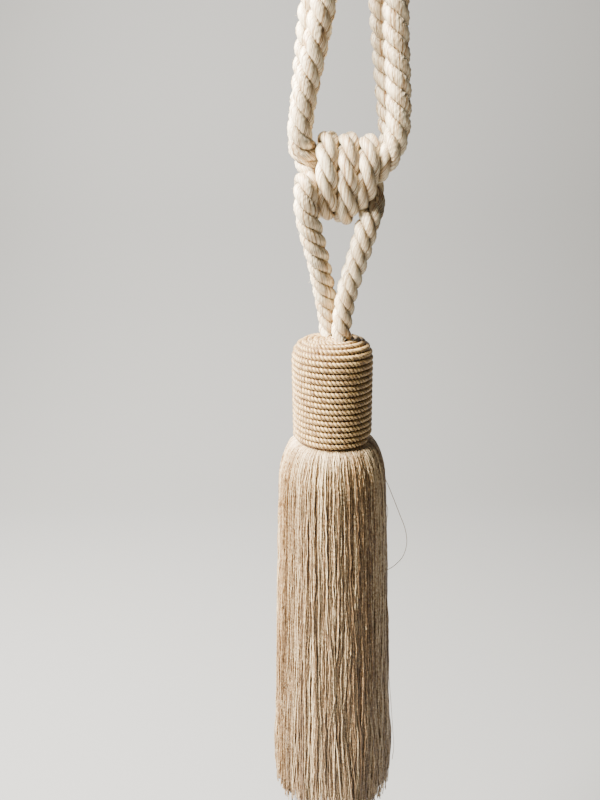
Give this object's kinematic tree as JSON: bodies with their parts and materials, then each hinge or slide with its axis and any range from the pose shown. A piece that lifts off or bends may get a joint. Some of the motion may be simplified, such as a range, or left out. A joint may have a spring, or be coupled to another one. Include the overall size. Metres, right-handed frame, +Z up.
{
  "type": "curtain tieback",
  "caption": "Tassel tieback for a curtain: a doubled twisted cord, a wrapped knot below it, and a wound head with a long thread fringe.",
  "frame": {"origin": "the hang point: the underside of the cord's two arches, midway between them, where a hook holds them", "axes": "+Z up, -Y towards the side that the picture shows, +X to the right of that side"},
  "size_m": [0.064, 0.064, 0.4924],
  "materials": {
    "cord_silk": "satin, twisted",
    "tassel_cord_silk": "satin, twisted",
    "head_silk": "satin, wound",
    "skirt_silk": "satin threads"
  },
  "bodies": {
    "root": {"holding_cord": "cord_silk", "tassel_cord": "tassel_cord_silk", "tassel_head": "head_silk", "tassel_skirt": "skirt_silk"}
  },
  "joints": []
}
